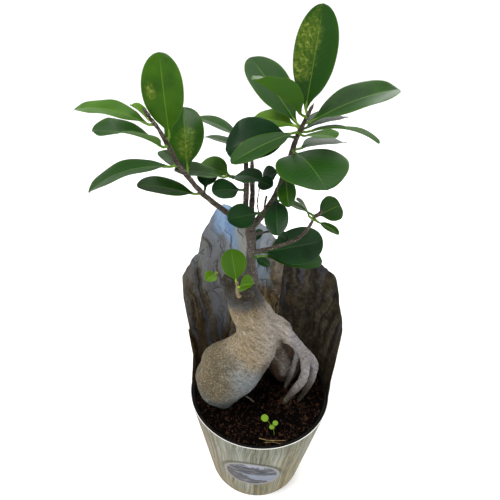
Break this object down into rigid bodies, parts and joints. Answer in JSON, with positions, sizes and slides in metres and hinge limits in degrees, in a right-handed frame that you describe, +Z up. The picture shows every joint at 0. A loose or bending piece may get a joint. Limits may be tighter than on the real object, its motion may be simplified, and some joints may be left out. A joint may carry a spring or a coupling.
{
  "type": "potted bonsai tree",
  "caption": "Small bonsai with a swollen, arching root trunk and glossy oval leaves in a tapered nursery pot, wrapped by a printed card sleeve whose back rises as a ragged scenic screen.",
  "frame": {"origin": "centre of the pot's flat underside, where the pot stands", "axes": "+Z up the pot's axis, -Y towards the sleeve's low front edge, +X to the right seen from the front"},
  "size_m": [0.1932, 0.1428, 0.3914],
  "materials": {
    "pot_plastic": "satin",
    "printed_card": "satin",
    "potting_soil": "matte",
    "pale_bark": "matte",
    "twig_bark": "matte",
    "green_shoot": "matte",
    "mature_leaf": "satin",
    "inner_leaf": "satin",
    "young_leaf": "satin"
  },
  "bodies": {
    "root": {"nursery_pot": "pot_plastic", "card_sleeve": "printed_card", "soil": "potting_soil", "root_trunk": "pale_bark", "stem": "twig_bark", "left_branch": "twig_bark", "right_branch": "twig_bark", "middle_branch": "twig_bark", "back_branch": "twig_bark", "side_twig": "twig_bark", "low_branch": "twig_bark", "back_twig": "twig_bark", "front_shoot": "green_shoot", "left_sucker": "twig_bark", "seedling": "young_leaf", "leaf_left_upright": "mature_leaf", "leaf_left_tip_outer": "mature_leaf", "leaf_left_tip_front": "mature_leaf", "leaf_left_tip_bud": "young_leaf", "leaf_left_blotched": "mature_leaf", "leaf_left_drooping": "mature_leaf", "leaf_left_rear_small": "mature_leaf", "leaf_left_lower": "mature_leaf", "leaf_left_hanging": "inner_leaf", "leaf_side_left": "mature_leaf", "leaf_side_front": "inner_leaf", "leaf_side_rear": "mature_leaf", "leaf_middle_tip_left": "mature_leaf", "leaf_middle_round": "inner_leaf", "leaf_back_left": "mature_leaf", "leaf_back_inner": "inner_leaf", "leaf_right_upright": "mature_leaf", "leaf_right_tip_left": "mature_leaf", "leaf_right_tip_front": "mature_leaf", "leaf_right_tip_right": "mature_leaf", "leaf_right_rear_right": "inner_leaf", "leaf_right_outer_right": "mature_leaf", "leaf_right_rear_left": "young_leaf", "leaf_right_front_small": "mature_leaf", "leaf_right_lower_rear": "mature_leaf", "leaf_right_front_left": "mature_leaf", "leaf_right_shaded_left": "inner_leaf", "leaf_right_broad": "mature_leaf", "leaf_right_under_front": "mature_leaf", "leaf_right_under_left": "inner_leaf", "leaf_right_inner_small": "inner_leaf", "leaf_right_foot_front": "inner_leaf", "leaf_right_inner_hanging": "inner_leaf", "leaf_low_tip_rear": "mature_leaf", "leaf_low_tip_left": "mature_leaf", "leaf_low_tip_right": "mature_leaf", "leaf_low_tip_front": "mature_leaf", "leaf_stem_broad": "inner_leaf", "leaf_stem_rear": "mature_leaf", "leaf_stem_rear_small": "inner_leaf", "leaf_stem_right_small": "inner_leaf", "leaf_twig_tip": "inner_leaf", "leaf_shoot_upright": "young_leaf", "leaf_shoot_right": "young_leaf", "leaf_sucker_left": "young_leaf"}
  },
  "joints": []
}
